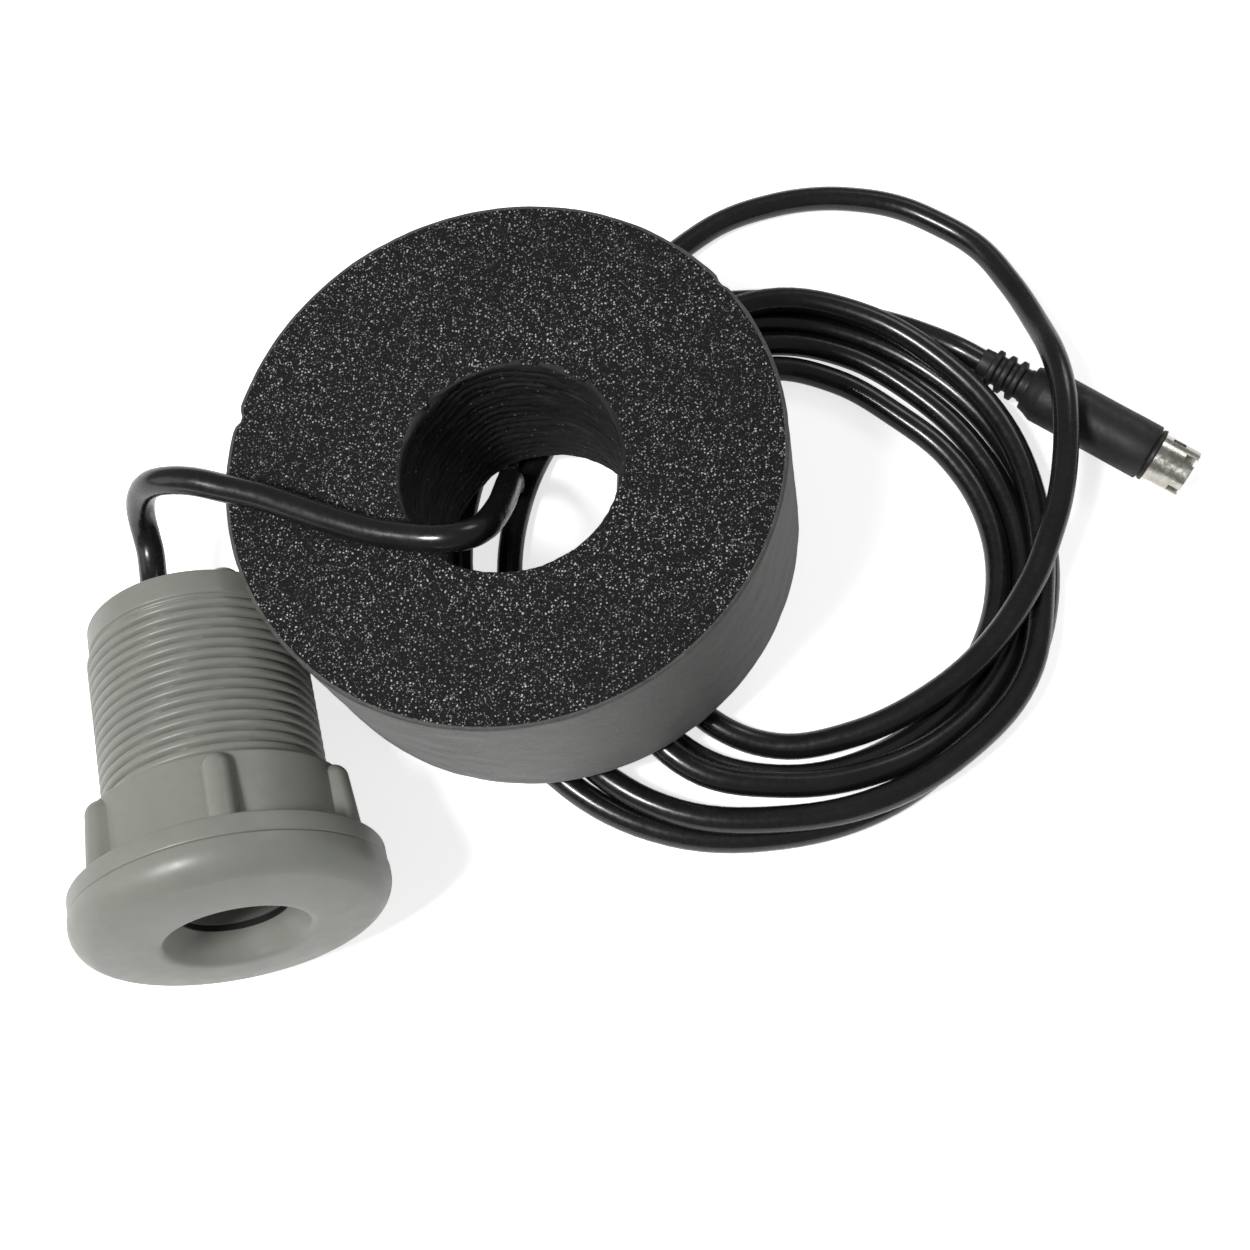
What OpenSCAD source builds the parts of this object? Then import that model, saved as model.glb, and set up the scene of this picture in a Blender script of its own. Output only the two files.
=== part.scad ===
// Through-wall spa sensor: a grey plastic fitting that clamps through a tub wall,
// a foam ring threaded on its lead, and the lead, wound into a loose coil and
// ending in a round multi-pin plug. Everything is modelled as it lies on a table.
// Millimetres, +Z up. The fitting's own axis runs from its front cap to its rear.

/* [Fitting] */
// Outer diameter of the front cap
cap_d = 52.4; // [52.2:0.1:53]
// Outer diameter of the flange behind the cap
flange_d = 52; // [51:0.5:52]
// Crest diameter of the barrel thread
thread_d = 38; // [37.9:0.05:38.05]
// Pitch of the barrel thread
pitch = 2; // [1.9:0.05:2.1]
// Radius of the clear bore behind the cap's funnel
aperture_r = 8.6; // [8.2:0.1:8.8]
// Diameter of the plain band at the rear of the barrel
rear_d = 36.8; // [36:0.2:37]
// Overall length from the cap's face to the rear rim
fit_len = 60.5; // [60:0.5:62]

/* [Lock nut] */
// Outer diameter of the nut between its ribs
nut_d = 44; // [43:0.5:45]
// Length of the nut along the barrel
nut_len = 11.1; // [10:0.1:11.1]
// Number of grip ribs
nut_ribs = 6; // [4:1:8]
// Radius of each grip rib
rib_r = 2.4; // [2:0.1:2.6]

/* [Foam ring] */
// Outer diameter of the foam ring
foam_d = 98.4; // [96:0.2:98.4]
// Bore of the foam ring
foam_bore_d = 38.2; // [38:0.1:38.6]
// Thickness of the foam ring
foam_h = 37; // [34:0.5:37]

/* [Lead and plug] */
// Diameter of the round lead
cord_d = 5; // [4.6:0.1:5]
// Diameter of the plug's metal shell
shell_d = 9.5; // [9.3:0.1:9.5]
// Diameter of the plug's moulded body
plug_d = 11.4; // [11:0.1:11.6]

/* [Hidden] */
$fn = 96;

// where the arrangement's reference point sits in the part's frame
shift = [31.62, 2.98, 0];

thread_r = thread_d/2;
root_r = thread_r - 1.15;
flange_r = flange_d/2;
rear_r = rear_d/2;
bore_r = 15.6;          // clear bore through the barrel
z_seam = 6.9;           // cap meets flange
z_flange = 10.5;        // rear face of the flange
z_thread0 = 11.2;
turns = 22;
z_thread1 = z_thread0 + turns*pitch;
z_nut = 12.3;           // front face of the nut

// the fitting lies on the rear edge of its flange and on its rear rim
contact_z = fit_len - 0.6;
tilt = atan((flange_r - rear_r)/(contact_z - z_flange));
axis_h = z_flange*sin(tilt) + flange_r*cos(tilt);
yaw = 14.7;
fit_at = [-63.2, -64.6, axis_h];
module at_fitting() {
    translate(shift) translate(fit_at) rotate([0, 0, yaw]) rotate([-(90 + tilt), 0, 0]) children();
}

// the foam ring lies on the lead and on the coil, lowest towards the fitting
foam_at = [-15.9, 15.3, 8.4];
foam_tilt_y = -8.27;
foam_tilt_x = 0.89;
module at_foam() {
    translate(shift) translate(foam_at) rotate([foam_tilt_x, foam_tilt_y, 0]) children();
}

// the plug lies flat; its own axis runs from the strain relief to the shell
plug_at = [76.8, 51.4, 5.8];
plug_dir = -33;
module at_plug() {
    translate(shift) translate(plug_at) rotate([0, 0, plug_dir]) rotate([0, 90, 0]) children();
}

body_grey = [0.56, 0.57, 0.53];
black = [0.08, 0.08, 0.08];

// points of an arc from angle a0 to a1 about [x, y]
function arc(x, y, r, a0, a1, n) = [for (i = [0:n]) let (a = a0 + (a1 - a0)*i/n) [x + r*cos(a), y + r*sin(a)]];

module ring(r0, r1, z0, z1) {
    translate([0, 0, z0]) difference() {
        cylinder(r = r1, h = z1 - z0);
        translate([0, 0, -1]) cylinder(r = r0, h = z1 - z0 + 2);
    }
}

// ---- fitting ----

module wall_body() {
    grooves = [for (i = [0:turns - 1]) let (z = z_thread0 + i*pitch)
        each [[root_r, z + 0.02], [root_r, z + 0.16], [thread_r, z + 0.6], [thread_r, z + pitch - 0.3]]];
    color(body_grey) at_fitting() rotate_extrude()
        polygon(concat(
            [[bore_r, z_seam + 0.05], [flange_r - 0.35, z_seam + 0.05], [flange_r, z_seam + 0.4],
             [flange_r, z_flange - 0.25], [flange_r - 0.25, z_flange], [root_r, z_flange]],
            grooves,
            [[root_r, z_thread1 + 0.1], [rear_r - 0.3, z_thread1 + 0.3], [rear_r, z_thread1 + 0.7], [rear_r, fit_len - 0.6],
             [rear_r - 0.6, fit_len], [bore_r + 0.4, fit_len], [bore_r, fit_len - 0.4]]));
}

module front_cap() {
    cap_r = cap_d/2;
    edge = 5;
    color(body_grey) at_fitting() difference() {
        rotate_extrude() polygon(concat(
            [[aperture_r + 0.6, 5], [aperture_r + 3.1, 1.1], [aperture_r + 3.4, 0.5], [aperture_r + 3.8, 0.15]],
            [[aperture_r + 4.4, 0.03], [14.4, 0.04], [16, 0.1], [18.4, 0.26], [20.2, 0.5]],
            arc(cap_r - edge, edge + 0.62, edge, -72, -6, 12),
            [[cap_r, 5.7], [cap_r, 6.5], [cap_r - 0.35, z_seam], [15.5, z_seam],
             [15.5, 12.6], [15.2, 12.9], [11.8, 12.9], [11.8, 5]]));
        ring(13.85, 16, 9.5, 11.3);
    }
}

module cap_o_ring() {
    color(black) at_fitting() translate([0, 0, 10.4]) rotate_extrude() translate([14.72, 0]) circle(r = 0.8, $fn = 24);
}

module aperture_ring() {
    color(black) at_fitting() ring(aperture_r + 0.35, 11.7, 5.05, 6.05);
}

module inner_sleeve() {
    color(body_grey) at_fitting() rotate_extrude() polygon([
        [aperture_r, 6.1], [11.7, 6.1], [11.7, 22], [15.5, 22], [15.5, 26], [aperture_r, 26]]);
}

module lens_gasket() {
    color(black) at_fitting() ring(9.2, 14.6, 26.05, 26.85);
}

module window_lens() {
    color([0.25, 0.12, 0.16, 0.6]) at_fitting() rotate_extrude() polygon([
        [0, 26.9], [14.6, 26.9], [14.6, 28.6], [14.2, 29.1], [0, 29.1]]);
}

module lens_retainer() {
    color(black) at_fitting() difference() {
        ring(11.4, 15.5, 29.15, 32.1);
        for (s = [0:1]) rotate([0, 0, 180*s]) translate([10, -1.2, 30.6]) cube([7, 2.4, 3]);
    }
}

module board_standoffs() {
    color("silver") at_fitting() for (i = [0:2]) rotate([0, 0, 30 + 120*i])
        translate([13.2, 0, 32.15]) cylinder(r = 1.4, h = 2.8);
}

module sensor_board() {
    color([0.1, 0.35, 0.18]) at_fitting() difference() {
        translate([0, 0, 35]) cylinder(r = 15.2, h = 1.6);
        for (i = [0:2]) rotate([0, 0, 30 + 120*i]) translate([13.2, 0, 34]) cylinder(r = 0.8, h = 4, $fn = 24);
    }
}

module light_sensor() {
    color("silver") at_fitting() {
        translate([0, 0, 32.4]) cylinder(r = 2.4, h = 2.55);
    }
}

module emitters() {
    color([0.85, 0.85, 0.9]) at_fitting() for (s = [-1, 1]) translate([6.5*s, 0, 0]) {
        translate([0, 0, 32.6]) cylinder(r = 1.5, h = 2.35);
        intersection() {
            translate([0, 0, 32.6]) sphere(r = 1.5);
            translate([-2, -2, 30]) cube([4, 4, 2.6]);
        }
    }
}

module board_parts() {
    color([0.12, 0.12, 0.13]) at_fitting() {
        translate([-4, -4, 36.65]) cube([8, 8, 1.4]);
        translate([-9.5, -2.2, 36.65]) cube([3, 1.6, 0.9]);
        translate([-9.5, 1.4, 36.65]) cube([3, 1.6, 0.9]);
        translate([6, 3, 36.65]) cylinder(r = 2, h = 4.2);
        translate([-3, -10.5, 36.65]) cube([6, 2.4, 1.1]);
    }
}

// cores of the lead between the board and the potting
module core_wires() {
    color([0.7, 0.2, 0.15]) at_fitting() for (i = [0:3])
        translate([-3.6 + 2.4*i, 8.4, 36.65]) cylinder(r = 0.6, h = 9.3, $fn = 24);
}

module potting_plug() {
    color([0.1, 0.1, 0.11]) at_fitting() translate([0, 0, 46]) cylinder(r = 15.5, h = 10);
}

module rear_cap() {
    color(body_grey) at_fitting() difference() {
        translate([0, 0, 56.05]) cylinder(r = 15.5, h = 3.6);
        translate([-5.5, -2, 55]) cylinder(r = 3.65, h = 6);
        translate([8.2, -9.8, 55]) cylinder(r = 2.05, h = 6, $fn = 48);
    }
}

// pressed-in plug of the potting fill hole
module fill_plug() {
    color(body_grey) at_fitting() translate([8.2, -9.8, 0]) rotate_extrude($fn = 48) polygon([
        [0, 56.1], [2, 56.1], [2, 59.7], [2.6, 59.7], [2.6, 63], [2.1, 63.5], [0, 63.5]]);
}

module cord_gland() {
    color(black) at_fitting() translate([-5.5, -2, 0]) rotate_extrude($fn = 48) polygon([
        [0, 56.1], [3.6, 56.1], [3.6, 59.7], [4.6, 59.7], [4.6, 61], [3.9, 61.6], [3.2, 65.5], [0, 65.5]]);
}

module flange_gasket() {
    color(black) at_fitting() ring(thread_r + 0.3, 21.1, 10.55, 11.35);
}

module slip_washer() {
    color([0.16, 0.16, 0.16]) at_fitting() ring(thread_r + 0.2, 21.1, 11.45, 12.2);
}

module lock_nut() {
    nut_r = nut_d/2;
    z1 = z_nut + nut_len;
    rib_z = z1 - 0.4 - rib_r;
    color(body_grey) at_fitting() difference() {
        union() {
            rotate_extrude() polygon([
                [thread_r + 0.06, z_nut + 0.5], [thread_r + 0.5, z_nut + 0.05], [21.3, z_nut + 0.05], [21.3, z_flange + 0.2], [nut_r, z_flange + 0.2],
                [nut_r, z1 - 0.4], [nut_r - 0.4, z1], [thread_r + 0.5, z1], [thread_r + 0.06, z1 - 0.5]]);
            for (i = [0:nut_ribs - 1]) rotate([0, 0, 42.5 + i*360/nut_ribs])
                translate([24.1 - rib_r, 0, rib_z]) {
                    sphere(r = rib_r, $fn = 48);
                    rotate([0, 176, 0]) cylinder(r = rib_r, h = 14, $fn = 48);
                }
        }
        translate([-40, -40, z_flange - 20]) cube([80, 80, 20.2]);
        translate([0, 0, z_nut - 1]) cylinder(r = thread_r + 0.06, h = nut_len + 2);
        translate([0, 0, z_flange - 1]) cylinder(r = 21.3, h = z_nut + 1.05 - z_flange);
    }
}

// ---- foam ring ----

module foam_ring() {
    color([0.13, 0.13, 0.13]) difference() {
        at_foam() difference() {
            cylinder(d = foam_d, h = foam_h, $fn = 160);
            // the bore is cut a little off centre
            translate([1.67, -2.38, -1]) cylinder(d = foam_bore_d, h = foam_h + 2);
        }
        // hollow pressed into the side where it leans on the barrel
        at_fitting() translate([0, 0, 24]) cylinder(r = thread_r + 0.35, h = 42);
    }
}

// ---- lead ----

// Route points, in the arrangement's own frame.
// From the gland, up over the foam ring, down its bore and out under its far side.
lead = [[-85.03, -3.08, 19.31], [-85.98, 0.55, 18.73], [-86.6, 4, 18.9], [-87.1, 7.1, 19.7], [-87.7, 9.9, 21.6],
    [-87.8, 11.8, 24.6], [-87, 12.9, 28.6], [-85.1, 13.3, 33], [-82.3, 12.9, 36.8], [-79, 12.3, 39.1],
    [-74.6, 11.5, 40.4], [-69.2, 10.1, 40.8], [-65.6, 9.1, 41.2], [-62, 8, 41.6], [-55.2, 5.2, 42.5],
    [-48, 2.3, 43.5], [-41.5, 0.1, 44.5], [-36.5, -1, 45.4], [-32.5, -1.7, 46.2], [-29, -1.7, 46.5],
    [-26.1, -0.7, 45.7], [-24, 1.4, 43.6], [-22.9, 4.6, 40], [-22.2, 8.2, 35.8], [-21.8, 12, 31.2],
    [-21.6, 16.8, 25.5], [-21.6, 22, 18.3], [-21.7, 24.8, 12], [-22, 26.3, 7.7], [-22.4, 28.4, 4.7],
    [-22.6, 32, 3], [-21.4, 38.3, 2.8], [-17.8, 44.6, 2.9], [-13.4, 50.2, 3.4], [-9.5, 54.7, 5.4],
    [-5.6, 59.2, 7.4], [-2, 64.2, 6.9], [0.2, 70.4, 4.1], [2.55, 74.2, 2.975], [4.6, 76.2, 2.9]];
// Wide outer loop, over the plug and down on to the coil.
loop = [[4.6, 76.2, 2.9], [12.8, 84.2, 2.6], [21, 90.1, 2.5], [31.6, 94.1, 2.5], [39.8, 95.6, 2.5],
    [47.6, 95.6, 2.5], [57.3, 93.8, 2.5], [65.5, 89.7, 2.7], [73.8, 83.1, 3.4], [79.4, 73, 5.4],
    [82.9, 61.9, 8.8], [84.4, 52.3, 13], [85, 44.4, 14.9], [84.9, 36.5, 15.2], [84.1, 28.4, 14.8],
    [82.5, 20.4, 14.2], [79.9, 12.8, 13.4], [76.5, 4.8, 11.8], [72.1, -2.4, 10.9]];
// Short stretch from the coil to the plug.
tail = [[38, 65.5, 2.6], [47, 66.4, 2.7], [55.6, 64.4, 3.2], [62.2, 60.9, 4.5], [67.6, 57.4, 5.7],
    [71.77, 54.67, 5.8]];

function unit(v) = v/norm(v);
function tangent(p, i) = let (n = len(p) - 1)
    unit(i == 0 ? p[1] - p[0] : i == n ? p[n] - p[n - 1] : unit(p[i + 1] - p[i]) + unit(p[i] - p[i - 1]));
function across(v, t) = unit(v - (v*t)*t);
// side directions carried along the route without twist
function sides(p, first) = [for (i = 0, s = across(first, tangent(p, 0)); i < len(p);
    i = i + 1, s = i < len(p) ? across(s, tangent(p, i)) : s) s];

module tube(p, r, first, sidesn = 8) {
    s = sides(p, first);
    n = len(p);
    m = sidesn;
    pts = [for (i = [0:n - 1]) let (t = tangent(p, i), u = s[i], v = cross(t, u))
        for (k = [0:m - 1]) p[i] + r*(cos(360*k/m)*u + sin(360*k/m)*v)];
    faces = concat(
        [[for (k = [0:m - 1]) k]],
        [for (i = [0:n - 2]) for (k = [0:m - 1]) let (a = i*m + k, b = i*m + (k + 1)%m)
            each [[a, a + m, b], [b, a + m, b + m]]],
        [[for (k = [m - 1:-1:0]) (n - 1)*m + k]]);
    translate(shift) polyhedron(points = pts, faces = faces);
}

module cord_lead() { color(black) tube(lead, cord_d/2, [1, 0, 0]); }
module cord_loop() { color(black) tube(loop, cord_d/2, [0, 0, 1]); }
module cord_tail() { color(black) tube(tail, cord_d/2, [0, 0, 1]); }

// lower layer of turns, lying on the table
module cord_coil_lower() {
    color(black) translate(shift) translate([31.5, 14, 0]) ring(45, 53, 0.1, 5);
}

// upper layer of turns, lying on the lower one
module cord_coil_upper() {
    color(black) translate(shift) translate([43, 13.5, 0]) ring(32.4, 42.9, 5, 9.9);
}

// ---- plug ----

module plug_strain_relief() {
    color(black) at_plug() rotate_extrude($fn = 48) polygon([
        [0, -6], [2.9, -6], [3.8, -5.6], [3.8, -4.2], [3.1, -3.9], [3.1, -3.3], [4, -3], [4, -1.6], [3.2, -1.3],
        [3.2, -0.7], [4.1, -0.4], [4.1, 1], [3.3, 1.3], [3.3, 1.9], [4.2, 2.2], [4.2, 3.6], [3.6, 3.9], [3.6, 5], [0, 5]]);
}

module plug_overmould() {
    r = plug_d/2;
    color(black) at_plug() rotate_extrude($fn = 64) polygon([
        [0, 5], [4.3, 5], [4.9, 5.4], [r, 8], [r, 31.6], [r - 0.25, 31.9], [r - 0.25, 33], [0, 33]]);
}

module plug_shell() {
    color("silver") at_plug() difference() {
        ring(shell_d/2 - 0.35, shell_d/2, 33.05, 40.4);
        for (a = [-90, 90, 180]) rotate([0, 0, a]) translate([shell_d/2 - 1, -0.9, 38]) cube([2, 1.8, 4]);
        rotate([0, 0, 140]) translate([shell_d/2 - 1, -0.8, 34.6]) cube([2, 1.6, 2.6]);
    }
}

module plug_insert() {
    color([0.1, 0.1, 0.1]) at_plug() difference() {
        translate([0, 0, 33.05]) cylinder(r = shell_d/2 - 0.4, h = 1.25, $fn = 64);
        for (a = [0:5]) rotate([0, 0, 30 + 60*a]) translate([2.7, 0, 32]) cylinder(r = 0.5, h = 4, $fn = 16);
    }
}

// contact pins of the plug
module plug_pins() {
    color("gold") at_plug() for (a = [0:5]) rotate([0, 0, 30 + 60*a]) translate([2.7, 0, 33.1])
        cylinder(r = 0.45, h = 5.15, $fn = 16);
}

// rectangular key that lets the plug in one way round
module plug_key() {
    color([0.1, 0.1, 0.1]) at_plug() translate([-1.1, -0.6, 34.35]) cube([2.2, 1.2, 5]);
}

wall_body();
front_cap();
cap_o_ring();
aperture_ring();
inner_sleeve();
lens_gasket();
window_lens();
lens_retainer();
board_standoffs();
sensor_board();
light_sensor();
emitters();
board_parts();
core_wires();
potting_plug();
rear_cap();
fill_plug();
cord_gland();
flange_gasket();
slip_washer();
lock_nut();
foam_ring();
cord_lead();
cord_loop();
cord_coil_lower();
cord_coil_upper();
cord_tail();
plug_strain_relief();
plug_overmould();
plug_shell();
plug_insert();
plug_pins();
plug_key();
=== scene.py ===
import math

import bpy
import bmesh
from mathutils import Matrix, Vector, noise


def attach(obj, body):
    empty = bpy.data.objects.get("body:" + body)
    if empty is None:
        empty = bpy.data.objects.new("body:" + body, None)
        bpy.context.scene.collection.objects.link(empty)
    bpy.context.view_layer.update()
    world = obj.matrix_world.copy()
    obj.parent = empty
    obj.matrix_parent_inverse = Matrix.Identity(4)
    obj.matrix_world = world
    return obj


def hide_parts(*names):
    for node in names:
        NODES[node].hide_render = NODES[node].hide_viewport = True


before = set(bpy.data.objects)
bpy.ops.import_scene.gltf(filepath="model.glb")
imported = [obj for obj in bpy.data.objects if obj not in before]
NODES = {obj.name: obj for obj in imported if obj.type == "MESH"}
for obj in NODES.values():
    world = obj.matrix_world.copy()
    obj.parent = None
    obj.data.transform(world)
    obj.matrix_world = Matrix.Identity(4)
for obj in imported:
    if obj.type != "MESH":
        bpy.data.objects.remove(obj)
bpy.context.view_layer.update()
SCENE = bpy.context.scene
MM = 0.001
pi = math.pi
rad = math.radians

# ------------------------------------------------------------------ places
SHIFT = Vector((31.62, 2.98, 0))
TILT = math.atan((26.0 - 18.4) / (59.9 - 10.5))
AXIS_H = 10.5 * math.sin(TILT) + 26.0 * math.cos(TILT)


def place(at, rot):
    return (Matrix.Scale(MM, 4) @ Matrix.Translation(SHIFT + Vector(at)) @ rot)


M_FIT = place((-63.2, -64.6, AXIS_H), Matrix.Rotation(rad(14.7), 4, "Z") @ Matrix.Rotation(-(pi / 2 + TILT), 4, "X"))
M_FOAM = place((-15.9, 15.3, 8.4), Matrix.Rotation(rad(-8.27), 4, "Y") @ Matrix.Rotation(rad(0.89), 4, "X"))
M_PLUG = place((76.8, 51.4, 5.8), Matrix.Rotation(rad(-33), 4, "Z") @ Matrix.Rotation(pi / 2, 4, "Y"))

# ------------------------------------------------------------------ camera
cam_data = bpy.data.cameras.new("camera")
cam_data.sensor_width = 36
cam_data.lens = 46.08
cam_data.clip_start = 0.01
cam_data.clip_end = 20
cam = bpy.data.objects.new("camera", cam_data)
cam.location = (0.03162, -0.10396, 0.29065)
cam.rotation_euler = (rad(20.2), 0, 0)
SCENE.collection.objects.link(cam)
SCENE.camera = cam


# ------------------------------------------------------------------ materials
class Mat:
    """A small wrapper around one material's node tree."""

    def __init__(self, name):
        self.m = bpy.data.materials.new(name)
        self.m.use_nodes = True
        self.t = self.m.node_tree
        self.b = self.t.nodes["Principled BSDF"]
        self.co = self.t.nodes.new("ShaderNodeTexCoord").outputs["Object"]

    def set(self, **kw):
        names = {"color": "Base Color", "rough": "Roughness", "metal": "Metallic", "spec": "Specular IOR Level",
                 "coat": "Coat Weight", "coat_rough": "Coat Roughness", "sheen": "Sheen Weight",
                 "sheen_rough": "Sheen Roughness", "alpha": "Alpha", "trans": "Transmission Weight", "ior": "IOR",
                 "sss": "Subsurface Weight"}
        for k, v in kw.items():
            self.b.inputs[names[k]].default_value = (*v, 1) if k == "color" else v
        return self

    def node(self, kind, inputs=None, **props):
        n = self.t.nodes.new(kind)
        for k, v in props.items():
            setattr(n, k, v)
        for k, v in (inputs or {}).items():
            if isinstance(v, bpy.types.NodeSocket):
                self.t.links.new(v, n.inputs[k])
            else:
                n.inputs[k].default_value = v
        return n

    def stretch(self, vec, scale):
        return self.node("ShaderNodeMapping", {"Vector": vec, "Scale": scale}).outputs["Vector"]

    def noise(self, scale, detail=3.0, rough=0.55, vec=None, dist=0.0):
        return self.node("ShaderNodeTexNoise", {"Vector": vec or self.co, "Scale": scale, "Detail": detail,
                                                "Roughness": rough, "Distortion": dist}).outputs["Fac"]

    def cells(self, scale, out="Distance", vec=None, feature="F1", rnd=1.0):
        return self.node("ShaderNodeTexVoronoi", {"Vector": vec or self.co, "Scale": scale, "Randomness": rnd},
                         feature=feature).outputs[out]

    def ramp(self, fac, stops, interp="LINEAR"):
        n = self.node("ShaderNodeValToRGB", {"Fac": fac})
        n.color_ramp.interpolation = interp
        e = n.color_ramp.elements
        while len(e) < len(stops):
            e.new(0.5)
        for el, (p, c) in zip(e, stops):
            el.position = p
            c = (c, c, c) if not isinstance(c, (tuple, list)) else c
            el.color = (*c, 1)
        return n.outputs["Color"]

    def math(self, op, a, b=0.0, clamp=False):
        n = self.node("ShaderNodeMath", operation=op, use_clamp=clamp)
        for i, v in enumerate((a, b)):
            if isinstance(v, bpy.types.NodeSocket):
                self.t.links.new(v, n.inputs[i])
            else:
                n.inputs[i].default_value = v
        return n.outputs[0]

    def map(self, v, a, b, c, d):
        return self.node("ShaderNodeMapRange", {"Value": v, "From Min": a, "From Max": b, "To Min": c, "To Max": d}).outputs[0]

    def mix(self, fac, a, b, mode="MIX"):
        n = self.node("ShaderNodeMix", data_type="RGBA", blend_type=mode)
        for i, v in ((0, fac), (6, a), (7, b)):
            if isinstance(v, bpy.types.NodeSocket):
                self.t.links.new(v, n.inputs[i])
            else:
                n.inputs[i].default_value = v if i == 0 else (*v, 1)
        return n.outputs[2]

    def link(self, socket, name):
        self.t.links.new(socket, self.b.inputs[name])
        return self

    def bump(self, height, strength, distance, normal=None):
        ins = {"Height": height, "Strength": strength, "Distance": distance}
        if normal is not None:
            ins["Normal"] = normal
        return self.node("ShaderNodeBump", ins).outputs["Normal"]

    def normal(self, n):
        self.t.links.new(n, self.b.inputs["Normal"])
        return self


def srgb(r, g, b):
    f = lambda c: c / 255 / 12.92 if c <= 10 else ((c / 255 + 0.055) / 1.055) ** 2.4
    return (f(r), f(g), f(b))


def plastic(name, color, rough, grain=2600, bump=0.12, vary=0.08, spec=0.5, mottle=180, metal=0.0, depth=0.00004):
    """Moulded plastic or metal with faint mottling and a fine moulded grain."""
    m = Mat(name).set(spec=spec, metal=metal)
    dark = tuple(c * (1 - vary) for c in color)
    light = tuple(min(1, c * (1 + vary)) for c in color)
    n = m.noise(mottle, 4)
    m.link(m.ramp(n, [(0.3, dark), (0.7, light)]), "Base Color")
    m.link(m.map(m.noise(mottle * 2.3, 3), 0.3, 0.7, max(0.02, rough - 0.06), min(1, rough + 0.06)), "Roughness")
    m.normal(m.bump(m.noise(grain, 3), bump, depth))
    return m


def body_plastic():
    m = Mat("grey_body_plastic").set(spec=0.42)
    a, b, c = (0.222, 0.229, 0.203), (0.236, 0.243, 0.215), (0.25, 0.257, 0.228)
    big = m.noise(70, 3, 0.5)
    col = m.ramp(big, [(0.3, a), (0.52, b), (0.75, c)])
    dirt = m.ramp(m.noise(520, 5, 0.65), [(0.3, 0.95), (0.5, 1.0)])
    col = m.mix(1.0, col, dirt, "MULTIPLY")
    m.link(col, "Base Color")
    m.link(m.map(m.noise(300, 4), 0.3, 0.7, 0.31, 0.43), "Roughness")
    fine = m.bump(m.noise(3800, 2), 0.1, 0.00003)
    m.normal(m.bump(m.noise(260, 3), 0.05, 0.0001, fine))
    return m.m


def foam_top():
    """Open cut cells: nearly black, with painted glints: bright grey specks in the base colour stand in for cell walls
    catching the light.
    """
    m = Mat("foam_cut_face").set(spec=0.25)
    warp = m.node("ShaderNodeVectorMath", {0: m.co, 1: m.stretch(m.node("ShaderNodeTexNoise", {"Vector": m.co, "Scale": 900.0}).outputs["Color"],
                                                                    (0.0005, 0.0005, 0.0005))}, operation="ADD").outputs[0]
    d1 = m.cells(1900, "Distance", warp)
    r1 = m.cells(1900, "Color", warp)
    d2 = m.cells(3400, "Distance", warp)
    r2 = m.cells(3400, "Color", warp)
    sep1 = m.node("ShaderNodeSeparateColor", {"Color": r1}).outputs
    sep2 = m.node("ShaderNodeSeparateColor", {"Color": r2}).outputs
    # painted glints: bright specks from two cell sizes, standing in for light caught by the cell walls
    dot1 = m.math("MULTIPLY", m.map(d1, 0.16, 0.36, 1, 0), m.map(sep1[0], 0.62, 0.96, 0, 1))
    dot2 = m.math("MULTIPLY", m.map(d2, 0.18, 0.42, 1, 0), m.map(sep2[1], 0.62, 0.98, 0, 0.75))
    painted_glint = m.math("ADD", dot1, dot2, True)
    # the brightness of the painted glints varies in patches
    patch = m.map(m.noise(55, 3), 0.3, 0.7, 0.7, 1.7)
    painted_glint = m.math("MULTIPLY", painted_glint, patch, True)
    base = m.ramp(m.noise(1900, 4, 0.7), [(0.3, 0.0035), (0.55, 0.009), (0.8, 0.027)])
    # painted glints: mixed into the base colour as light grey (0.62)
    col = m.mix(painted_glint, base, (0.62, 0.63, 0.64))
    m.link(col, "Base Color")
    m.link(m.map(painted_glint, 0, 1, 0.75, 0.35), "Roughness")
    h = m.math("ADD", m.noise(2100, 4, 0.7), m.math("MULTIPLY", d1, 0.8))
    m.normal(m.bump(h, 0.75, 0.00035))
    return m.m


def foam_side():
    """The moulded skin round the ring: smooth, faintly streaked and lighter grey than the cut face, partly its own grey
    and partly a painted sheen of grazing light, with lighter specks.
    """
    m = Mat("foam_skin").set(spec=0.35)
    streak = m.noise(160, 5, 0.6, m.stretch(m.co, (1, 1, 4.5)))
    speck = m.noise(1500, 4, 0.7)
    # partly painted sheen: these base greys sit well above the cut face's to stand in for light grazing the smooth skin
    base = m.ramp(streak, [(0.3, (0.042, 0.042, 0.04)), (0.7, (0.082, 0.082, 0.077))])
    col = m.mix(m.map(speck, 0.42, 0.75, 0, 0.4), base, (0.16, 0.16, 0.15))
    m.link(col, "Base Color")
    m.link(m.map(streak, 0.3, 0.7, 0.55, 0.72), "Roughness")
    h = m.math("ADD", m.math("MULTIPLY", m.noise(1300, 4), 0.6), m.noise(240, 4))
    m.normal(m.bump(h, 0.3, 0.0003))
    m.set(sheen=0.25, sheen_rough=0.4)
    return m.m


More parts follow.
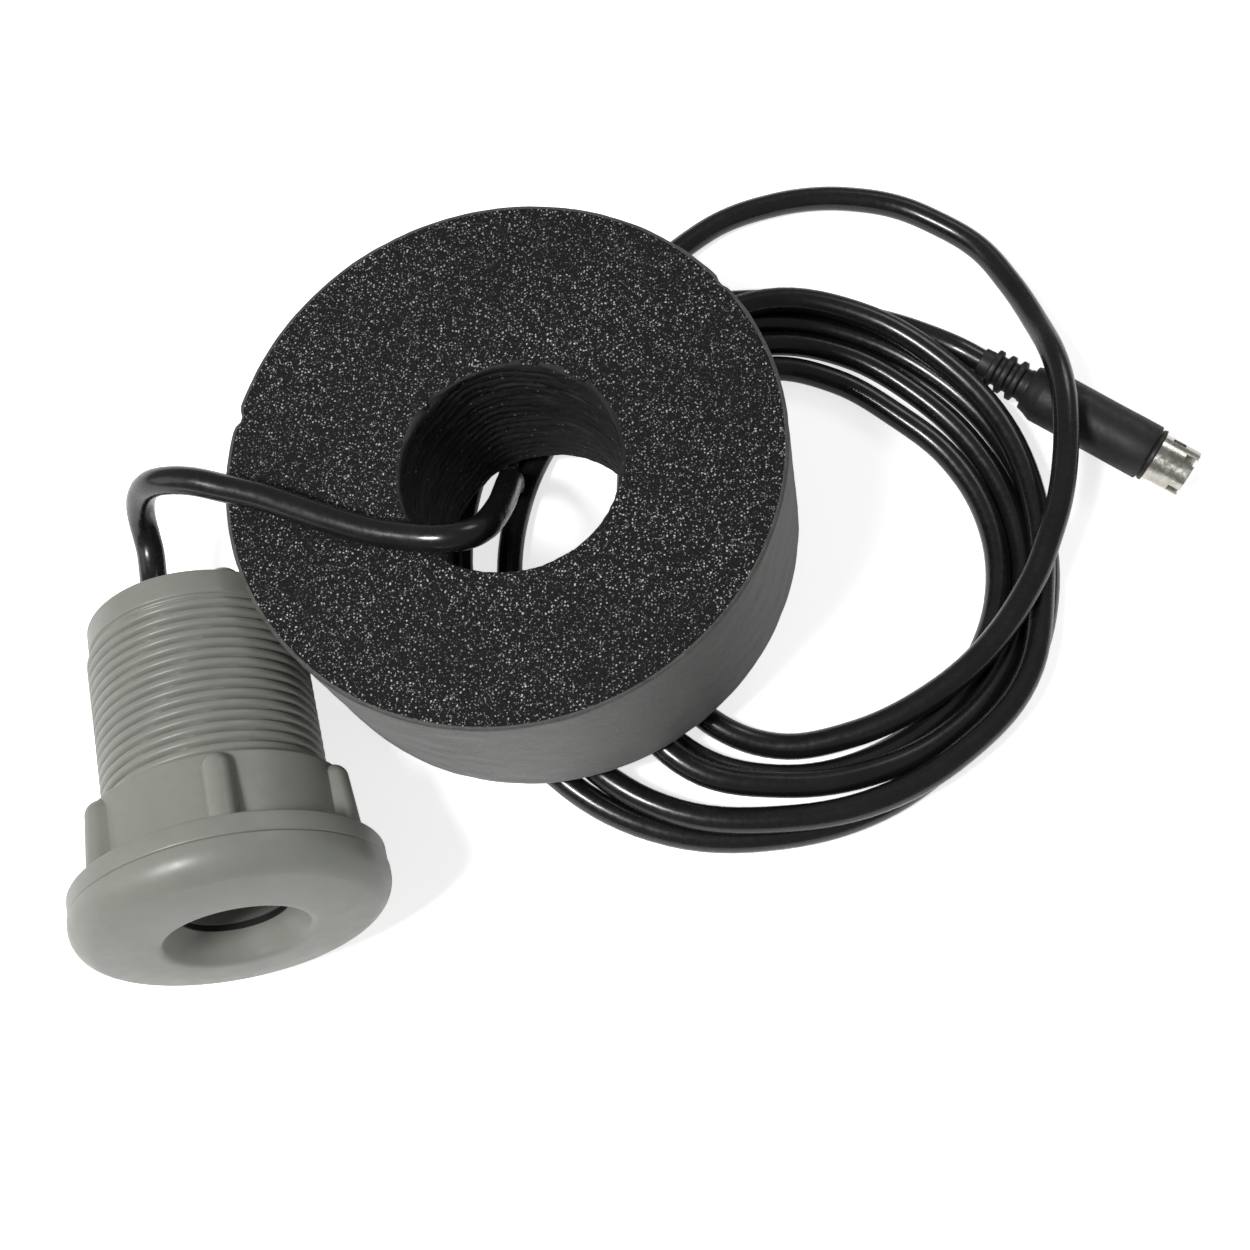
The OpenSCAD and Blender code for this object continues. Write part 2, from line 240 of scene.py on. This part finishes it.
def foam_bore():
    """The bore's wall, cut in wavy passes."""
    m = Mat("foam_cut_bore").set(spec=0.3)
    ridge = m.noise(210, 4, 0.6, m.stretch(m.co, (0.35, 0.35, 5)))
    base = m.ramp(ridge, [(0.35, (0.006, 0.006, 0.006)), (0.62, (0.028, 0.028, 0.027)), (0.8, (0.075, 0.075, 0.072))])
    # painted glints: sparse bright specks (0.4 grey) in the base colour stand in for cut cell walls catching the light
    speck = m.cells(1500, "Distance")
    rnd = m.node("ShaderNodeSeparateColor", {"Color": m.cells(1500, "Color")}).outputs[0]
    dot = m.math("MULTIPLY", m.map(speck, 0.1, 0.34, 1, 0), m.map(rnd, 0.86, 1, 0, 0.8))
    m.link(m.mix(dot, base, (0.4, 0.4, 0.4)), "Base Color")
    m.link(m.map(ridge, 0.3, 0.7, 0.5, 0.8), "Roughness")
    h = m.math("ADD", ridge, m.math("MULTIPLY", m.noise(1500, 3), 0.35))
    m.normal(m.bump(h, 0.7, 0.0006))
    return m.m


def jacket(name="cord_jacket_pvc"):
    m = Mat(name).set(spec=0.5, coat=0.25, coat_rough=0.12)
    n = m.noise(120, 3)
    m.link(m.ramp(n, [(0.3, (0.0065, 0.0065, 0.0065)), (0.7, (0.011, 0.011, 0.0108))]), "Base Color")
    m.link(m.map(m.noise(900, 4), 0.3, 0.7, 0.2, 0.33), "Roughness")
    fine = m.bump(m.noise(1800, 3), 0.1, 0.00004)
    m.normal(m.bump(m.noise(140, 2), 0.12, 0.0004, fine))
    return m.m


def overmould_mat():
    m = Mat("plug_moulding").set(spec=0.45)
    m.link(m.ramp(m.noise(700, 4), [(0.3, (0.013, 0.013, 0.013)), (0.7, (0.022, 0.022, 0.0215))]), "Base Color")
    m.link(m.map(m.noise(900, 3), 0.3, 0.7, 0.42, 0.56), "Roughness")
    m.normal(m.bump(m.noise(3000, 3), 0.35, 0.00006))
    return m.m


def chrome():
    m = Mat("plated_shell").set(metal=1.0)
    m.link(m.ramp(m.noise(400, 4), [(0.3, (0.55, 0.53, 0.47)), (0.7, (0.78, 0.76, 0.7))]), "Base Color")
    m.link(m.map(m.noise(1200, 4), 0.3, 0.7, 0.16, 0.34), "Roughness")
    m.normal(m.bump(m.noise(900, 3), 0.08, 0.00005))
    return m.m


MATS = {
    "body": body_plastic(),
    "rubber": plastic("gasket_rubber", (0.014, 0.014, 0.014), 0.62, 1800, 0.3, 0.25, 0.4).m,
    "washer": plastic("washer_plastic", (0.05, 0.05, 0.052), 0.45, 2200, 0.15, 0.15).m,
    "board": plastic("board_laminate", (0.012, 0.09, 0.035), 0.35, 3000, 0.2, 0.3, 0.5, 700).m,
    "component": plastic("component_epoxy", (0.02, 0.02, 0.022), 0.5, 3200, 0.25, 0.2).m,
    "emitter": plastic("emitter_lens", (0.55, 0.55, 0.6), 0.12, 2000, 0.05, 0.06, 0.7).m,
    "standoff": plastic("standoff_metal", (0.62, 0.62, 0.6), 0.28, 3000, 0.12, 0.1, 0.5, 500, 1.0).m,
    "wire": plastic("wire_insulation", (0.35, 0.03, 0.02), 0.4, 1500, 0.15, 0.2, 0.5, 500).m,
    "potting": plastic("potting_resin", (0.013, 0.013, 0.015), 0.22, 300, 0.2, 0.3, 0.5, 90, 0.0, 0.0002).m,
    "contact": plastic("contact_plating", (0.8, 0.6, 0.25), 0.25, 2500, 0.12, 0.12, 0.5, 700, 1.0).m,
    "insert": plastic("insert_plastic", (0.018, 0.018, 0.018), 0.38, 2500, 0.2, 0.2).m,
    "cord": jacket(),
    "moulding": overmould_mat(),
    "shell": chrome(),
    "foam_top": foam_top(),
    "foam_side": foam_side(),
    "foam_bore": foam_bore(),
}
win = plastic("window_polycarbonate", (0.09, 0.02, 0.035), 0.08, 1500, 0.03, 0.2, 0.6)
win.set(trans=0.6, ior=1.58)
MATS["window"] = win.m


# ------------------------------------------------------------------ mesh helpers
def build(name, verts, faces, mats, M=None, idx=None, angle=35, smooth=True):
    me = bpy.data.meshes.new(name)
    if M is not None:
        verts = [M @ Vector(v) for v in verts]
    me.from_pydata([tuple(v) for v in verts], [], faces)
    me.update()
    bm = bmesh.new()
    bm.from_mesh(me)
    bmesh.ops.recalc_face_normals(bm, faces=bm.faces)
    bm.to_mesh(me)
    bm.free()
    for m in (mats if isinstance(mats, list) else [mats]):
        me.materials.append(m)
    if idx is not None:
        for p, i in zip(me.polygons, idx):
            p.material_index = i
    if smooth:
        me.polygons.foreach_set("use_smooth", [True] * len(me.polygons))
        me.set_sharp_from_angle(angle=rad(angle))
    ob = bpy.data.objects.new(name, me)
    SCENE.collection.objects.link(ob)
    return ob


def lathe(name, prof, mats, M, seg=128, closed=True, fn=None, pick=None, angle=35, warp=None):
    """Revolve (radius, z) points about z. fn(r, z, theta, i) may move a point; pick(i) gives a face row's material."""
    verts, rows = [], []
    for i, (r, z) in enumerate(prof):
        if r <= 1e-9 and not closed:
            rows.append([len(verts)] * seg)
            verts.append((0, 0, z))
            continue
        row = []
        for j in range(seg):
            t = 2 * pi * j / seg
            rr, zz = fn(r, z, t, i) if fn else (r, z)
            row.append(len(verts))
            p = (rr * math.cos(t), rr * math.sin(t), zz)
            verts.append(warp(p) if warp else p)
        rows.append(row)
    faces, idx = [], []
    n = len(rows)
    for i in range(n if closed else n - 1):
        a, b = rows[i], rows[(i + 1) % n]
        for j in range(seg):
            k = (j + 1) % seg
            f = [a[j], a[k], b[k], b[j]]
            f = [v for q, v in enumerate(f) if v not in f[:q]]
            if len(f) >= 3:
                faces.append(f)
                idx.append(pick(i) if pick else 0)
    return build(name, verts, faces, mats, M, idx, angle)


def arc(x, y, r, a0, a1, n):
    return [(x + r * math.cos(rad(a0 + (a1 - a0) * i / n)), y + r * math.sin(rad(a0 + (a1 - a0) * i / n))) for i in range(n + 1)]


def steps(a, b, n):
    return [a + (b - a) * i / n for i in range(n + 1)]


# ------------------------------------------------------------------ cord
LEAD = [
    (-85.03, -3.08, 19.31), (-85.98, 0.55, 18.73), (-86.6, 4, 18.9), (-87.1, 7.1, 19.7), (-87.7, 9.9, 21.6), (-87.8, 11.8, 24.6),
    (-87, 12.9, 28.6), (-85.1, 13.3, 33), (-82.3, 12.9, 36.8), (-79, 12.3, 39.1), (-74.6, 11.5, 40.4), (-69.2, 10.1, 40.8),
    (-65.6, 9.1, 41.2), (-62, 8, 41.6), (-55.2, 5.2, 42.5), (-48, 2.3, 43.5), (-41.5, 0.1, 44.5), (-36.5, -1, 45.4),
    (-32.5, -1.7, 46.2), (-29, -1.7, 46.5), (-26.1, -0.7, 45.7), (-24, 1.4, 43.6), (-22.9, 4.6, 40), (-22.2, 8.2, 35.8),
    (-21.8, 12, 31.2), (-21.6, 16.8, 25.5), (-21.6, 22, 18.3), (-21.7, 24.8, 12), (-22, 26.3, 7.7), (-22.4, 28.4, 4.7),
    (-22.6, 32, 3), (-21.4, 38.3, 2.8), (-17.8, 44.6, 2.9), (-13.4, 50.2, 3.4), (-9.5, 54.7, 5.4), (-5.6, 59.2, 7.4),
    (-2, 64.2, 6.9), (0.2, 70.4, 4.1), (2.55, 74.2, 2.975)]
LOOP = [
    (4.6, 76.2, 2.9), (12.8, 84.2, 2.6), (21, 90.1, 2.5), (31.6, 94.1, 2.5), (39.8, 95.6, 2.5), (47.6, 95.6, 2.5),
    (57.3, 93.8, 2.5), (65.5, 89.7, 2.7), (73.8, 83.1, 3.4), (79.4, 73, 5.4), (82.9, 61.9, 8.8), (84.4, 52.3, 13),
    (85, 44.4, 14.9), (84.9, 36.5, 15.2), (84.1, 28.4, 14.8), (82.5, 20.4, 14.2), (79.9, 12.8, 13.4)]
COIL_AT = (28.5, 13.5)
TURNS = [
    (-10.3, 48.8, 11.9), (-20, 46.4, 10.9), (-36.6, 43.2, 8.9), (-47.3, 41.5, 7.6), (-57.5, 40.1, 6.6), (-72, 39.2, 4.4),
    (-90, 38.5, 2.5), (-120, 34, 2.5), (-150, 26, 2.5), (-180, 21.5, 2.5), (-210, 26, 2.5), (-240, 35, 2.5),
    (-270, 41.2, 2.5), (-308, 40.2, 2.5), (-343, 43.2, 2.5), (-360, 44.1, 2.5), (-394, 44.2, 2.5), (-414, 44.4, 2.5),
    (-450, 44.6, 2.5), (-480, 42, 2.5), (-510, 33, 2.5), (-540, 26.6, 2.5), (-570, 32, 2.5), (-600, 42, 2.5),
    (-630, 47, 2.5), (-674, 46.8, 2.5), (-700, 48, 2.5), (-720, 49, 2.5), (-754, 48.9, 2.8), (-774, 48.2, 4.6),
    (-792, 47.4, 6.2), (-810, 47, 6.9), (-837, 46, 7.3), (-870, 33.5, 7.3), (-900, 24.1, 6.9), (-930, 29, 7.3),
    (-960, 44, 7.5), (-990, 54.4, 7), (-1025, 53.9, 6.9), (-1045, 53.4, 6.9), (-1065, 52.4, 6.9), (-1080, 51.3, 6.9),
    (-1114, 53.6, 6.9), (-1134, 52.7, 6.9), (-1152, 53, 6.9), (-1170, 53.4, 6.6), (-1199, 55.6, 5), (-1230, 52.8, 2.6),
    (-1260, 50.8, 2.5), (-1290, 50.4, 2.5), (-1320, 50.8, 2.5), (-1350, 52.1, 2.5), (-1380, 52.2, 2.5), (-1410, 53, 2.5),
    (-1440, 53.5, 2.5), (-1474, 53, 2.5), (-1494, 52, 2.5), (-1512, 53.8, 2.5), (-1530, 55.6, 2.5), (-1563, 60, 2.5),
    (-1590, 59.8, 2.5), (-1620, 60.6, 2.5), (-1640, 61, 2.5), (-1655, 60.9, 2.5), (-1670, 59.2, 2.5), (-1685, 57.9, 2.5),
    (-1700, 57.2, 2.5), (-1710, 57, 2.5)]
TAIL = [(40, 69.0, 2.5), (48, 66.9, 2.6), (55.6, 64.4, 3.2), (62.2, 60.9, 4.5), (67.6, 57.4, 5.7), (71.77, 54.67, 5.8)]


def between(keys, x):
    """Smooth radius and height between the listed (angle, radius, height) keys."""
    xs = [k[0] for k in keys]
    n = len(keys)
    i = next((j for j in range(n - 1) if x <= xs[j + 1]), n - 2)

    def slope(j, c):
        if j == 0:
            return (keys[1][c] - keys[0][c]) / (xs[1] - xs[0])
        if j == n - 1:
            return (keys[-1][c] - keys[-2][c]) / (xs[-1] - xs[-2])
        a = (keys[j][c] - keys[j - 1][c]) / (xs[j] - xs[j - 1])
        b = (keys[j + 1][c] - keys[j][c]) / (xs[j + 1] - xs[j])
        if c == 2 and a * b <= 0:
            return 0
        return (a * (xs[j + 1] - xs[j]) + b * (xs[j] - xs[j - 1])) / (xs[j + 1] - xs[j - 1])

    h = xs[i + 1] - xs[i]
    t = (x - xs[i]) / h
    out = []
    for c in (1, 2):
        p0, p1, m0, m1 = keys[i][c], keys[i + 1][c], slope(i, c) * h, slope(i + 1, c) * h
        out.append((2 * t**3 - 3 * t**2 + 1) * p0 + (t**3 - 2 * t**2 + t) * m0 + (3 * t**2 - 2 * t**3) * p1 + (t**3 - t**2) * m1)
    return out


def coil_points(step=20):
    keys = [(-a, r, z) for a, r, z in TURNS]
    n = round((keys[-1][0] - keys[0][0]) / step)
    pts = []
    for k in range(n + 1):
        a = keys[0][0] + (keys[-1][0] - keys[0][0]) * k / n
        r, z = between(keys, a)
        pts.append((COIL_AT[0] + r * math.cos(rad(-a)), COIL_AT[1] + r * math.sin(rad(-a)), z))
    return pts


ROUTE = [(Vector(p) + SHIFT) * MM for p in LEAD + LOOP + coil_points() + TAIL]


def cord_curve(name, pts, radius):
    cu = bpy.data.curves.new(name, "CURVE")
    cu.dimensions = "3D"
    sp = cu.splines.new("BEZIER")
    sp.bezier_points.add(len(pts) - 1)
    tan = []
    for i, p in enumerate(pts):
        if i == 0:
            t = pts[1] - p
        elif i == len(pts) - 1:
            t = p - pts[-2]
        else:
            t = (p - pts[i - 1]).normalized() + (pts[i + 1] - p).normalized()
        tan.append(t.normalized())
    for i, (b, p) in enumerate(zip(sp.bezier_points, pts)):
        b.handle_left_type = b.handle_right_type = "FREE"
        b.co = p
        a = (p - pts[i - 1]).length if i else (pts[1] - p).length
        c = (pts[i + 1] - p).length if i < len(pts) - 1 else a
        b.handle_left = p - tan[i] * a * 0.351
        b.handle_right = p + tan[i] * c * 0.351
    sp.resolution_u = 7
    cu.bevel_depth = radius
    cu.bevel_resolution = 5
    cu.use_fill_caps = True
    cu.materials.append(MATS["cord"])
    ob = bpy.data.objects.new(name, cu)
    SCENE.collection.objects.link(ob)
    return ob


cord = cord_curve("lead_cord", ROUTE, 0.0025)

# ------------------------------------------------------------------ plug
relief = []
for k in range(3):
    z0 = -3.6 + 2.6 * k
    r = 3.9 + 0.15 * k
    relief += [(r - 0.35, z0 + 0.02)] + arc(r - 0.3, z0 + 0.35, 0.3, -90, 0, 3) + arc(r - 0.3, z0 + 1.05, 0.3, 0, 90, 3) + \
        [(3.05 + 0.1 * k, z0 + 1.6), (3.05 + 0.1 * k, z0 + 2.3)]
relief = [(0, -6.0), (2.55, -6.0), (2.9, -5.9), (3.0, -3.7)] + relief + [(3.5, 4.3), (3.55, 5.1), (0, 5.1)]
plug_relief = lathe("plug_relief", relief, MATS["moulding"], M_PLUG, 72, False, angle=50)
over = [(0, 4.9), (4.0, 4.9)] + arc(4.25, 5.25, 0.35, -90, -30, 3) + [(4.95, 6.4), (5.35, 7.3)] + arc(4.9, 8.3, 0.8, -20, 0, 3) + \
    [(5.7, 12), (5.68, 17), (5.66, 23), (5.7, 28)] + arc(5.35, 31.5, 0.35, 0, 90, 4) + [(5.1, 31.9), (5.05, 32.1), (5.3, 32.2)] + \
    arc(5.25, 32.75, 0.2, 0, 90, 3) + [(4.8, 32.97), (0, 32.97)]
plug_body = lathe("plug_body", over, MATS["moulding"], M_PLUG, 96, False, angle=40)

for p in (plug_relief, plug_body):
    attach(p, "fitting")
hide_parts("plug_strain_relief")
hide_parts("plug_overmould")

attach(cord, "fitting")
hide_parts("cord_lead", "cord_loop", "cord_coil_lower", "cord_coil_upper", "cord_tail")

# ------------------------------------------------------------------ foam ring
R_OUT, R_IN, H_FOAM = 49.0, 19.1, 37.0
prof, kind = [], []


def add(points, k):
    for q in points:
        prof.append(q)
        kind.append(k)


add([(R_IN + 1 + (R_OUT - R_IN - 2) * i / 8, 0.0) for i in range(9)], 1)
add(arc(R_OUT - 0.8, 0.8, 0.8, -60, 0, 3), 1)
add([(R_OUT, z) for z in steps(1.6, H_FOAM - 1.4, 26)], 1)
add(arc(R_OUT - 0.55, H_FOAM - 0.55, 0.55, 0, 60, 3), 1)
add([(r, H_FOAM) for r in steps(R_OUT - 0.7, R_IN + 0.9, 40)], 0)
add(arc(R_IN + 0.6, H_FOAM - 0.6, 0.6, 90, 180, 4)[1:], 2)
add([(R_IN, z) for z in steps(H_FOAM - 1.2, 0.9, 70)], 2)
add(arc(R_IN + 0.6, 0.6, 0.6, 180, 240, 3), 2)


def foam_shape(r, z, t, i):
    k = kind[i]
    c, s = math.cos(t), math.sin(t)
    if k == 2:
        # knife passes: wavy ledges round the wall, deepest at the back
        back = 0.55 + 0.45 * s
        w = z + 1.6 * noise.noise(Vector((c * 1.3, s * 1.3, 3.1))) + 0.7 * noise.noise(Vector((c * 4, s * 4, z * 0.12)))
        f = (w * 0.46 + 0.35 * noise.noise(Vector((0.4, 0.2, w * 0.5)))) % 1.0
        ledge = (f ** 1.7) - 0.4
        amp = (0.55 + 0.55 * noise.noise(Vector((c * 2, s * 2, z * 0.2 + 7)))) * back * (1.0 + 0.8 * max(0.0, (z - H_FOAM + 12) / 12))
        fine = 0.16 * noise.noise(Vector((c * 19, s * 19, z * 1.4)))
        r = r + max(-0.35, min(1.1, ledge * amp * 1.2)) + fine
        top = max(0.0, (z - (H_FOAM - 9)) / 9)
        r += top * top * (0.5 + 0.9 * noise.noise(Vector((c * 1.6, s * 1.6, 11.0)))) * (0.6 - 0.4 * s)
        r = max(18.95, r)
    elif k == 1:
        r += 0.10 * noise.noise(Vector((c * 9, s * 9, z * 0.35))) + 0.06 * noise.noise(Vector((c * 30, s * 30, z * 1.1)))
        z += 0.05 * noise.noise(Vector((c * 25, s * 25, 5)))
    else:
        rr = r / 10
        z -= abs(0.10 * noise.noise(Vector((c * rr * 5, s * rr * 5, 1.7)))) + 0.04
        if r < R_IN + 3:
            r += 0.45 * noise.noise(Vector((c * 7, s * 7, 9.3))) * (R_IN + 3 - r) / 3
    # notch in the left rim and a small chip in the back right one
    for ang, deep, wide, low in ((168, 0.9, 2.2, 31), (38, 0.5, 1.8, 34)):
        d = (math.degrees(t) - ang + 180) % 360 - 180
        if abs(d) < wide and r > R_OUT - 3 and z > low - 6:
            e = (1 - (abs(d) / wide) ** 2) * min(1.0, max(0.0, (z - low + 6) / 6))
            r -= deep * e * min(1.0, max(0.0, (r - R_OUT + 3) / 3))
    return r, z


TO_FIT = M_FIT.inverted() @ M_FOAM
FROM_FIT = M_FOAM.inverted() @ M_FIT


def foam_warp(p):
    """Set the bore a little off centre and press the hollow where the ring leans on the barrel."""
    w = min(1.0, max(0.0, (R_OUT - math.hypot(p[0], p[1])) / (R_OUT - R_IN)))
    v = Vector((p[0] + 1.67 * w, p[1] - 2.38 * w, p[2]))
    q = TO_FIT @ v
    d = math.hypot(q.x, q.y)
    if d < 19.42 and 20 < q.z < 66:
        v = FROM_FIT @ Vector((q.x * 19.42 / d, q.y * 19.42 / d, q.z))
    return tuple(v)


foam = lathe("foam_ring_cut", prof, [MATS["foam_top"], MATS["foam_side"], MATS["foam_bore"]], M_FOAM, 288, True,
             foam_shape, lambda i: kind[i], 60, foam_warp)
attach(foam, "fitting")
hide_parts("foam_ring")

# ------------------------------------------------------------------ fitting
PITCH, Z_T0, TURN_N = 2.0, 11.2, 22
Z_T1 = Z_T0 + PITCH * TURN_N
SEG = 160
prof = [(15.6, 6.96), (25.5, 6.96)] + arc(25.65, 7.32, 0.35, -80, 0, 4) + [(26.0, 9.0)] + arc(25.6, 10.1, 0.4, 0, 90, 5) + \
    [(24, 10.5), (18.05, 10.5), (17.9, 10.65)]
thread0 = len(prof)
rows = 264
prof += [(18.0, 10.75 + (Z_T1 + 0.1 - 10.75) * i / rows) for i in range(rows + 1)]
thread1 = len(prof)
prof += [(17.9, Z_T1 + 0.25), (18.1, Z_T1 + 0.4)] + arc(18.1, Z_T1 + 0.8, 0.3, -90, 0, 3) + [(18.4, 57), (18.4, 59.6)] + \
    arc(18.0, 60.1, 0.4, 0, 90, 5) + [(17.4, 60.5), (16.2, 60.5)] + arc(15.95, 60.15, 0.35, 90, 180, 4) + [(15.6, 58), (15.6, 12)]


def thread(r, z, t, i):
    if thread0 <= i < thread1:
        u = ((z - Z_T0) / PITCH - t / (2 * pi)) % 1.0
        ridge = 1 - abs(2 * u - 1) ** 3.4
        inn = min(1.0, max(0.0, (z - 10.75) / 0.9)) * min(1.0, max(0.0, (Z_T1 + 0.1 - z) / 1.1))
        r = 17.86 + 1.12 * ridge * inn
    return r, z


wall = lathe("threaded_body", prof, MATS["body"], M_FIT, SEG, True, thread, angle=50)
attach(wall, "fitting")
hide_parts("wall_body")

AP = 8.6
prof = [(AP + 0.62, 5.02), (9.7, 4.25), (10.5, 3.0), (11.4, 1.6), (11.72, 1.08), (11.92, 0.68), (12.15, 0.38), (12.45, 0.17), (12.85, 0.07)] + \
    [(13.4, 0.05), (14.6, 0.06), (16, 0.1), (17.2, 0.17), (18.4, 0.27), (19.4, 0.39), (20.2, 0.52)] + \
    arc(26.2 - 5, 5.62, 5, -74, -6, 20) + [(26.2, 5.7), (26.2, 6.35)] + arc(25.95, 6.6, 0.25, 0, 80, 4) + [(25.5, 6.9), (15.5, 6.9),
    (15.5, 12.6), (15.2, 12.9), (11.82, 12.9), (11.82, 5.02)]
capp = lathe("cap_dome", prof, MATS["body"], M_FIT, 160, True, angle=40)
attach(capp, "fitting")
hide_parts("front_cap")

# ------------------------------------------------------------------ nut
N_R, N_Z0, N_Z1, RIB_R = 22.0, 10.7, 23.4, 2.4
RIB_Z = N_Z1 - 0.4 - RIB_R


def soft_max(a, b, k):
    h = max(k - abs(a - b), 0) / k
    return max(a, b) + h * h * k * 0.25


def nut_skin(z, t):
    base = N_R
    if z > N_Z1 - 0.5:
        base -= 0.5 * (1 - math.sqrt(max(0.0, 1 - ((z - N_Z1 + 0.5) / 0.5) ** 2)))
    best = base
    for k in range(6):
        a = t - rad(42.5 + 60 * k)
        a = (a + pi) % (2 * pi) - pi
        if abs(a) < 0.3:
            # the rib leans out towards the flange
            lean = max(0.0, RIB_Z - z) * math.tan(rad(4))
            c = 24.1 - RIB_R + lean
            x = c * math.sin(a)
            q = RIB_R ** 2 - x * x - (max(0.0, z - RIB_Z)) ** 2
            if q > 0:
                best = max(best, soft_max(base, min(c + math.sqrt(q), 24.1 + lean), 0.9))
            else:
                best = max(best, soft_max(base, c - 0.6 - 1.2 * math.sqrt(-q), 0.9))
    return best


seg = 540
zs = [N_Z0 + 0.02, N_Z0 + 0.1, N_Z0 + 0.4] + steps(N_Z0 + 1, RIB_Z, 10) + steps(RIB_Z + 0.25, N_Z1 - 0.5, 16) + \
    [N_Z1 - 0.5 + 0.5 * math.sin(rad(a)) for a in (20, 40, 60, 75, 90)]
prof = [(21.45, N_Z0 + 0.02)] + [(N_R, z) for z in zs] + [(21.0, N_Z1), (19.9, N_Z1), (19.4, N_Z1 - 0.15), (19.1, N_Z1 - 0.5), (19.06, 18), (19.06, 12.85), (19.3, 12.4), (21.32, 12.4), (21.32, 10.9)]


def nut_shape(r, z, t, i):
    if 1 <= i <= len(zs):
        return nut_skin(z, t), z
    return r, z


nut = lathe("grip_nut", prof, MATS["body"], M_FIT, seg, True, nut_shape, angle=50)
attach(nut, "nut")
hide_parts("lock_nut")

# ------------------------------------------------------------------ CAD nodes that stay
FINISH = {
    "cap_o_ring": "rubber", "aperture_ring": "rubber", "inner_sleeve": "body", "lens_gasket": "rubber",
    "window_lens": "window", "lens_retainer": "component", "board_standoffs": "standoff", "sensor_board": "board",
    "light_sensor": "standoff", "emitters": "emitter", "board_parts": "component", "core_wires": "wire",
    "potting_plug": "potting", "rear_cap": "body", "fill_plug": "body", "cord_gland": "rubber",
    "flange_gasket": "rubber", "slip_washer": "washer", "plug_shell": "shell", "plug_insert": "insert",
    "plug_pins": "contact", "plug_key": "insert",
}
for name, key in FINISH.items():
    o = NODES[name]
    if not o.material_slots:
        o.data.materials.append(MATS[key])
    for s in o.material_slots:
        s.material = MATS[key]
    o.data.set_sharp_from_angle(angle=rad(30))
    o.data.polygons.foreach_set("use_smooth", [True] * len(o.data.polygons))

# ------------------------------------------------------------------ floor and light
fl = bpy.data.meshes.new("floor")
fl.from_pydata([(-3, -3, 0), (3, -3, 0), (3, 3, 0), (-3, 3, 0)], [], [(0, 1, 2, 3)])
floor = bpy.data.objects.new("floor", fl)
SCENE.collection.objects.link(floor)
fm = Mat("floor_paint").set(rough=0.8, spec=0.2)
fm.link(fm.ramp(fm.noise(6, 2), [(0.3, 0.9), (0.7, 0.93)]), "Base Color")
fm.b.inputs["Emission Color"].default_value = (1, 1, 1, 1)
seen = fm.node("ShaderNodeLightPath").outputs["Is Camera Ray"]
fm.link(fm.map(seen, 0, 1, 0.3, 0.74), "Emission Strength")
fl.materials.append(fm.m)

world = bpy.data.worlds.new("world")
SCENE.world = world
world.use_nodes = True
bg = world.node_tree.nodes["Background"]
bg.inputs["Color"].default_value = (1, 1, 1, 1)
bg.inputs["Strength"].default_value = 0.18


def area(name, at, to, size, power, size_y=None):
    d = bpy.data.lights.new(name, "AREA")
    d.energy = power
    d.size = size
    if size_y:
        d.shape = "RECTANGLE"
        d.size_y = size_y
    o = bpy.data.objects.new(name, d)
    o.location = at
    o.rotation_euler = (Vector(to) - Vector(at)).to_track_quat("-Z", "Y").to_euler()
    SCENE.collection.objects.link(o)
    return o


area("key", (-0.24, -0.18, 0.55), (0.0, 0.0, 0.02), 0.12, 3.0)
area("side_fill", (-0.6, -0.1, 0.3), (0, 0, 0.03), 0.4, 0.5)
area("rim", (0.35, 0.5, 0.5), (0.03, 0.02, 0.02), 0.25, 0.6)

SCENE.view_settings.view_transform = "Standard"
SCENE.view_settings.look = "None"
